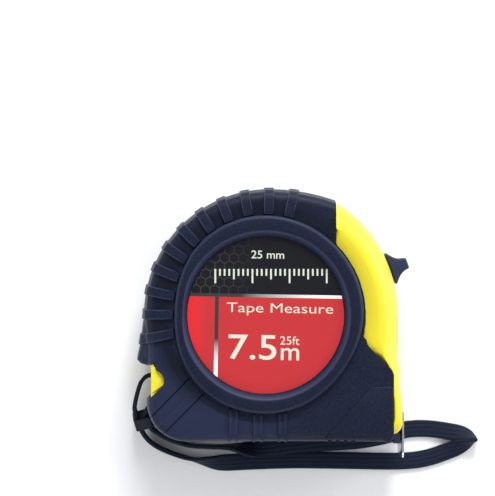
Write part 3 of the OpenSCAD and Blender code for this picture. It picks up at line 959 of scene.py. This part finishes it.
def turn_about(obj, angle, centre):
    """Turns a whole piece in edit mode, clockwise from above by an angle in degrees."""
    edit_all(obj)
    bpy.ops.transform.rotate(value=math.radians(angle), orient_axis="Z", center_override=centre)
    bpy.ops.object.mode_set(mode="OBJECT")
    return obj


def strap_tool(at, turn):
    """The slot that a leg of the strap passes through."""
    tool = block("strap_gap", (at[0] - 5.5, at[1] - 1.3, 5.2), (at[0] + 5.5, at[1] + 1.3, 13.4))
    return turn_about(tool, -turn, place(*at, 9.4))


def screw_tool(angle):
    """The round well over a screw's head."""
    x, y = polar(SCREW_R, angle)
    return settle(begin("screw_well", bpy.ops.mesh.primitive_cylinder_add, vertices=48,
                        radius=2.5 * MM, depth=12 * MM, location=place(x, y, 0.6)))


# ---- strap ----

def smooth_route(steps):
    """The strap's points with steps between them, on a curve through each."""
    points = [Vector(p) for p in STRAP_ROUTE]
    found = []
    for i in range(len(points) - 1):
        p0, p1, p2 = points[max(i - 1, 0)], points[i], points[i + 1]
        p3 = points[min(i + 2, len(points) - 1)]
        for s in range(steps):
            t = s / steps
            found.append(0.5 * ((2 * p1) + (p2 - p0) * t + (2 * p0 - 5 * p1 + 4 * p2 - p3) * t * t
                                + (3 * p1 - p0 - 3 * p2 + p3) * t ** 3))
    return found + [points[-1]]


def soft_box(half_x, half_y, radius, step=30):
    """Points round a rectangle about the origin, with round corners."""
    found = []
    for cx, cy, start in ((1, 1, 0), (-1, 1, 90), (-1, -1, 180), (1, -1, 270)):
        for turn in range(0, 91, step):
            x, y = polar(radius, start + turn)
            found.append((cx * (half_x - radius) + x, cy * (half_y - radius) + y))
    return found


class TAPE_OT_strap(bpy.types.Operator):
    bl_idname = "tape.strap"
    bl_label = "Hand Strap"

    def execute(self, context):
        sizes, colours = context.scene.tape_sizes, context.scene.tape_colours
        route = smooth_route(5)
        for point in route:
            # The lower edge of a rolled strap stays on the surface
            turn = math.radians(point[3])
            rest = sizes.strap_width * abs(math.sin(turn)) + sizes.strap_thickness * math.cos(turn)
            point[2] = max(point[2], rest / 2 / MM - 0.02)
        centre = [place(p[0], p[1], p[2]) for p in route]
        section = soft_box(sizes.strap_width / 2, sizes.strap_thickness / 2,
                           sizes.strap_thickness * 0.32)
        loops, lengths = [], [0.0]
        for i, spot in enumerate(centre):
            way = (centre[min(i + 1, len(centre) - 1)] - centre[max(i - 1, 0)]).normalized()
            level = Vector((-way.y, way.x, 0)).normalized()
            up = way.cross(level)
            roll = math.radians(route[i][3])
            across = math.cos(roll) * level + math.sin(roll) * up
            thick = math.cos(roll) * up - math.sin(roll) * level
            loops.append([spot + u * across + v * thick for u, v in section])
            if i:
                lengths.append(lengths[-1] + (spot - centre[i - 1]).length)
        loops = [[centre[0]] * len(section)] + loops + [[centre[-1]] * len(section)]
        lengths = [lengths[0]] + lengths + [lengths[-1]]
        marks = {"along": lambda i, k: lengths[i] / MM, "across": lambda i, k: section[k][0] / MM}
        strap = loft("wrist_strap_webbing", loops, marks, smooth=50)
        finish_piece(strap, webbing("strap_weave", colours.strap), "case",
                     ["wrist_strap"])
        keeper = keeper_sleeve()
        finish_piece(keeper, rubber("keeper_skin", colours.strap, 0.2, 0.03, 0.45), "case",
                     ["strap_keeper"])
        return {"FINISHED"}


def keeper_sleeve():
    """A moulded sleeve round both legs of the strap, open at its ends."""
    at, tilt, turn = Vector((-39.4, -34.65, 6.25)), 21.5, 15.5
    half_w, half_h, half_l, wall = 2.95, 3.6, 2.0, 0.55
    loops = []
    for grow, v in ((0, -half_l), (0, half_l), (-wall, half_l), (-wall, -half_l), (0, -half_l)):
        row = []
        for x, z in soft_box(half_w + grow, half_h + grow, 0.9 + grow * 0.8):
            y1, z1 = rotated(v, z, tilt)
            x2, y2 = rotated(x, y1, turn)
            row.append(place(at.x + x2, at.y + y2, at.z + z1))
        loops.append(row)
    sleeve = loft("strap_keeper_sleeve", loops)
    return apply(sleeve, "BEVEL", width=0.14 * MM, segments=2, limit_method="ANGLE",
                 angle_limit=math.radians(50))


class TAPE_OT_camera(bpy.types.Operator):
    """Adds the camera that looks straight down on the label"""

    bl_idname = "tape.camera"
    bl_label = "Camera"

    def execute(self, context):
        label_z, distance, scale = 40.0, 780.0, 0.31
        data = bpy.data.cameras.new("camera")
        data.sensor_width = 36
        data.lens = 36 * distance / (496 * scale)
        data.clip_end = 10
        camera = bpy.data.objects.new("camera", data)
        camera.location = place(-5.64, 20.9, label_z + distance)
        context.scene.collection.objects.link(camera)
        context.scene.camera = camera
        return {"FINISHED"}


class TAPE_OT_jackets(bpy.types.Operator):
    """Builds the rubber jackets of both halves"""

    bl_idname = "tape.jackets"
    bl_label = "Rubber Jackets"

    def execute(self, context):
        sizes, colours = context.scene.tape_sizes, context.scene.tape_colours
        skin = rubber("jacket_rubber_skin", colours.jacket, jacket=True)
        for side, node in ((1, "front_grip"), (-1, "rear_grip")):
            body = jacket(node + "_body", side, sizes)
            if side < 0:
                for angle in SCREW_ANGLES:
                    cut(body, screw_tool(angle))
            whole = join(node + "_skin", [body] + panel(side))
            finish_piece(whole, skin, "case", [node])
        return {"FINISHED"}


class TAPE_OT_case(bpy.types.Operator):
    """Builds both yellow case halves with their mouth, lock slot and strap holes"""

    bl_idname = "tape.case"
    bl_label = "Case Halves"

    def execute(self, context):
        sizes, colours = context.scene.tape_sizes, context.scene.tape_colours
        skin = plastic("case_plastic_skin", colours.case, 0.4, 0.2)
        for side, node in ((1, "front_shell"), (-1, "rear_shell")):
            half = case_half(node + "_moulding", side, sizes)
            cut(half, slot_tool())
            cut(half, mouth_tool())
            cut(half, lip_tool())
            if side < 0:
                for at, turn in (((-34.4, -21.0), -32), ((-36.0, -30.4), 32)):
                    cut(half, strap_tool(at, turn))
                for angle in SCREW_ANGLES:
                    cut(half, screw_tool(angle))
            tidy_mesh(half, 40, outward=False)
            finish_piece(half, skin, "case", [node])
        return {"FINISHED"}


def lettering(name, text, x, y, height, width, bold=0.0):
    """Raised ink lettering on the label, its left end and foot at a point, as a mesh."""
    obj = begin(name, bpy.ops.object.text_add)
    obj.data.body = text
    obj.data.size = 1
    obj.data.extrude = 0.01
    obj.data.offset = bold
    bpy.ops.object.convert(target="MESH")
    obj = bpy.context.object
    xs = [v.co.x for v in obj.data.vertices]
    ys = [v.co.y for v in obj.data.vertices]
    tall = height / (max(ys) - min(ys))
    wide = width / (max(xs) - min(xs))
    for v in obj.data.vertices:
        u = x + (v.co.x - min(xs)) * wide
        w = y + (v.co.y - min(ys)) * tall
        v.co = on_side(1, *rotated(u, w, -LABEL_TILT), INK_H if v.co.z > 0 else INK_FOOT)
    return tidy_mesh(obj, 30)


class TAPE_OT_labels(bpy.types.Operator):
    """Prints the front label with its length and a row of ticks, and finishes the rear plate"""

    bl_idname = "tape.labels"
    bl_label = "Labels"

    def execute(self, context):
        colours = context.scene.tape_colours
        dress("front_label", label_print("label_film", colours.label_red, colours.label_black))
        dress("rear_label", plastic("rear_plate_satin", (0.03, 0.033, 0.05), 0.4))
        ink = speckled("label_ink", (0.53, 0.57, 0.47))
        words = [
            lettering("word_name", "Tape Measure", -12.1, -0.1, 3.9, 33.0, -0.003),
            lettering("word_length", "7.5", -11.4, -13.8, 7.7, 14.9, 0.006),
            lettering("word_feet", "25ft", 4.6, -9.0, 2.6, 6.0, 0.0),
            lettering("word_metre", "m", 4.9, -13.8, 3.8, 5.7, 0.006),
            lettering("word_width", "25 mm", -4.8, 17.6, 2.5, 10.2, 0.006),
        ]
        for i in range(25):
            x = -15.9 + i * 1.44
            tall = 4.4 if i % 8 == 0 else 3.2 if i % 4 == 0 else 2.1
            outline = [(x, 14.4 - tall), (x + 0.55, 14.4 - tall), (x + 0.55, 14.4), (x, 14.4)]
            words.append(prism("tick", outline, lambda u, v: on_side(1, u, v, INK_FOOT),
                               lambda u, v: on_side(1, u, v, INK_H), 0))
        print_layer = join("label_lettering", words)
        finish_piece(print_layer, ink, "case")
        return {"FINISHED"}


class TAPE_OT_hook(bpy.types.Operator):
    """Builds the end hook: a plate across the nose and a leg under the blade"""

    bl_idname = "tape.hook"
    bl_label = "End Hook"

    def execute(self, context):
        sizes = context.scene.tape_sizes
        low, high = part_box("end_hook")
        y_low, y_high = low.y / MM - AXIS_Y, high.y / MM - AXIS_Y
        x_high = high.x / MM - AXIS_X
        x_low = x_high - 0.6
        middle = (y_low + y_high) / 2
        outline = [(middle + y, z) for y, z in soft_box((y_high - y_low) / 2, 12.5, 2.2, 18)]
        plate = prism("hook_plate", outline, lambda y, z: place(x_low, y, MID_Z + z),
                      lambda y, z: place(x_high, y, MID_Z + z), sizes.hook_bevel / MM, 2)
        leg_y = -31.6
        leg = prism("hook_leg", [(x_high - 13.8, -7.5), (x_high - 0.3, -7.5),
                                 (x_high - 0.3, 7.5), (x_high - 13.8, 7.5)],
                    lambda x, z: place(x, leg_y - 0.6, MID_Z + z),
                    lambda x, z: place(x, leg_y, MID_Z + z), 0.2, 2)
        hook = join("end_hook_plate", [plate, leg])
        finish_piece(hook, metal("hook_plating", (0.78, 0.79, 0.82), 0.22, (9.0, 9.0, 0.5)),
                     "hook", ["end_hook"])
        return {"FINISHED"}


class TAPE_OT_lock(bpy.types.Operator):
    """Builds the thumb lock's button with its waist, flared tip and grip lines"""

    bl_idname = "tape.lock"
    bl_label = "Thumb Lock"

    def execute(self, context):
        colours = context.scene.tape_colours
        side = [(FRONT_R + 0.25 + (5.55 - 0.25) * t / 8, 1.85 + 3.5 * (1 - t / 8) ** 2.3)
                for t in range(9)]
        tip = [(FRONT_R + 5.68, 1.1), (FRONT_R + 5.7, 0.0), (FRONT_R + 5.68, -1.1)]
        foot = [polar(FRONT_R + 0.2, a) for a in (-4, 0, 4)]
        outline = side + tip + [(x, -y) for x, y in reversed(side)] + foot

        def turned(x, y, z):
            return place(*rotated(x, y, LOCK_ANGLE), z)

        cap = prism("button_cap", outline, lambda x, y: turned(x, y, MID_Z - 8),
                    lambda x, y: turned(x, y, MID_Z + 8), 0.55, 4)
        stem = [(38.2, -2.2), (42.6, -2.5), (42.6, 2.5), (38.2, 2.2)]
        neck = prism("button_stem", stem, lambda x, y: turned(x, y, MID_Z - 5.5),
                     lambda x, y: turned(x, y, MID_Z + 5.5), 0.15, 2)
        lines = []
        for i in range(5):
            z = MID_Z - 5.6 + 2.8 * i
            bar = [(FRONT_R + 4.6, -2.02), (FRONT_R + 5.78, -1.4), (FRONT_R + 5.85, 0),
                   (FRONT_R + 5.78, 1.4), (FRONT_R + 4.6, 2.02)]
            lines.append(prism("button_line", bar, lambda x, y: turned(x, y, z - 0.5),
                               lambda x, y: turned(x, y, z + 0.5), 0.2, 2))
        button = join("lock_button_cap", [cap, neck] + lines)
        finish_piece(button, plastic("lock_plastic_skin", colours.lock, 0.36), "lock",
                     ["lock_button"])
        return {"FINISHED"}


class TAPE_OT_screws(bpy.types.Operator):
    """Builds the case screws with domed, cross-cut heads"""

    bl_idname = "tape.screws"
    bl_label = "Case Screws"

    def execute(self, context):
        head_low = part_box("case_screws")[0].z / MM
        pieces = []
        for angle in SCREW_ANGLES:
            x, y = polar(SCREW_R, angle)
            loops = []
            for r, z in ((0, 0), (1.2, 0), (1.8, 0.14), (2.15, 0.45), (2.3, 0.9), (2.3, 1.45),
                         (1.2, 1.5), (1.2, 24), (0.7, 25.2), (0, 25.2)):
                loops.append([place(x + r * unit(a)[0], y + r * unit(a)[1], head_low + z)
                              for a in range(0, 360, 15)])
            screw = loft("screw", loops, smooth=40)
            for turn in (0, 90):
                tool = block("cross", (x - 1.35, y - 0.28, head_low - 1),
                             (x + 1.35, y + 0.28, head_low + 0.8))
                cut(screw, turn_about(tool, turn + angle, place(x, y, head_low)))
            pieces.append(screw)
        screws = join("case_screw_set", pieces)
        finish_piece(screws, metal("screw_zinc", (0.5, 0.5, 0.52), 0.3), "case",
                     ["case_screws"])
        return {"FINISHED"}


class TAPE_OT_inner_finishes(bpy.types.Operator):
    """Gives the nodes that stay as they are their plastics, steels and rubbers"""

    bl_idname = "tape.inner_finishes"
    bl_label = "Inner Finishes"

    def execute(self, context):
        colours = context.scene.tape_colours
        moulded = plastic("reel_moulding", (0.72, 0.7, 0.62), 0.4)
        blued = metal("spring_blued", (0.2, 0.23, 0.28), 0.35, (9.0, 9.0, 0.4))
        plated = metal("plated_steel", (0.7, 0.71, 0.74), 0.25, (9.0, 9.0, 0.5))
        brake = rubber("brake_pad_skin", (0.02, 0.02, 0.024), 0.3, 0.04, 0.6)
        dark = plastic("lock_inner_skin", colours.lock, 0.4)
        kept = {
            "reel_hub": moulded, "reel_front_flange": moulded, "reel_rear_flange": moulded,
            "power_spring": blued, "lock_detent_spring": blued, "axle_post": plated,
            "hook_rivets": plated, "post_screw": plated, "strap_bar": plated,
            "blade_coil": enamel_scale("coil_enamel"), "blade_tongue": enamel_scale("blade_enamel"),
            "lock_arm": dark, "lock_shoe": brake, "mouth_bumper": brake, "mouth_lip": dark,
        }
        for node, material in kept.items():
            dress(node, material)
        return {"FINISHED"}


class TAPE_OT_stage(bpy.types.Operator):
    """Adds the pale floor and the soft studio lights"""

    bl_idname = "tape.stage"
    bl_label = "Stage"

    def execute(self, context):
        floor = begin("floor", bpy.ops.mesh.primitive_plane_add, size=3, location=(0, 0, -0.00002))
        floor.data.materials.append(paper("floor_paper"))
        lights = (
            ("key", (0.1, 0.85, 0.6), 0.5, 13.0), ("right", (0.85, 0.3, 0.35), 0.8, 6.0),
            ("front", (0.05, -0.75, 0.5), 0.6, 3.0), ("left", (-0.8, 0.0, 0.45), 0.5, 2.5),
        )
        for name, at, size, power in lights:
            data = bpy.data.lights.new(name, "AREA")
            data.shape = "DISK"
            data.size = size
            data.energy = power
            lamp = bpy.data.objects.new(name, data)
            lamp.location = at
            lamp.rotation_euler = (-Vector(at)).to_track_quat("-Z", "Y").to_euler()
            context.scene.collection.objects.link(lamp)
        world = bpy.data.worlds.new("studio")
        world.use_nodes = True
        world.node_tree.nodes["Background"].inputs["Color"].default_value = (0.93, 0.96, 1, 1)
        world.node_tree.nodes["Background"].inputs["Strength"].default_value = 0.45
        context.scene.world = world
        context.scene.view_settings.view_transform = "Standard"
        return {"FINISHED"}


OPERATORS = (TAPE_OT_camera, TAPE_OT_strap, TAPE_OT_case, TAPE_OT_jackets, TAPE_OT_labels,
             TAPE_OT_hook, TAPE_OT_lock, TAPE_OT_screws, TAPE_OT_inner_finishes, TAPE_OT_stage)


class TAPE_PT_panel(bpy.types.Panel):
    bl_label = "Tape Measure"
    bl_idname = "TAPE_PT_panel"
    bl_space_type = "VIEW_3D"
    bl_region_type = "UI"
    bl_category = "Tape Measure"

    def draw(self, context):
        for group in (context.scene.tape_sizes, context.scene.tape_colours):
            box = self.layout.box()
            for key in group.__annotations__:
                box.prop(group, key)
        for operator in OPERATORS:
            self.layout.operator(operator.bl_idname)


CLASSES = (TapeSizes, TapeColours) + OPERATORS + (TAPE_PT_panel,)


def register():
    for cls in CLASSES:
        bpy.utils.register_class(cls)
    bpy.types.Scene.tape_sizes = PointerProperty(type=TapeSizes)
    bpy.types.Scene.tape_colours = PointerProperty(type=TapeColours)


def unregister():
    del bpy.types.Scene.tape_colours
    del bpy.types.Scene.tape_sizes
    for cls in reversed(CLASSES):
        bpy.utils.unregister_class(cls)


def main():
    register()
    for operator in OPERATORS:
        group, name = operator.bl_idname.split(".")
        getattr(getattr(bpy.ops, group), name)()


if __name__ == "__main__":
    main()
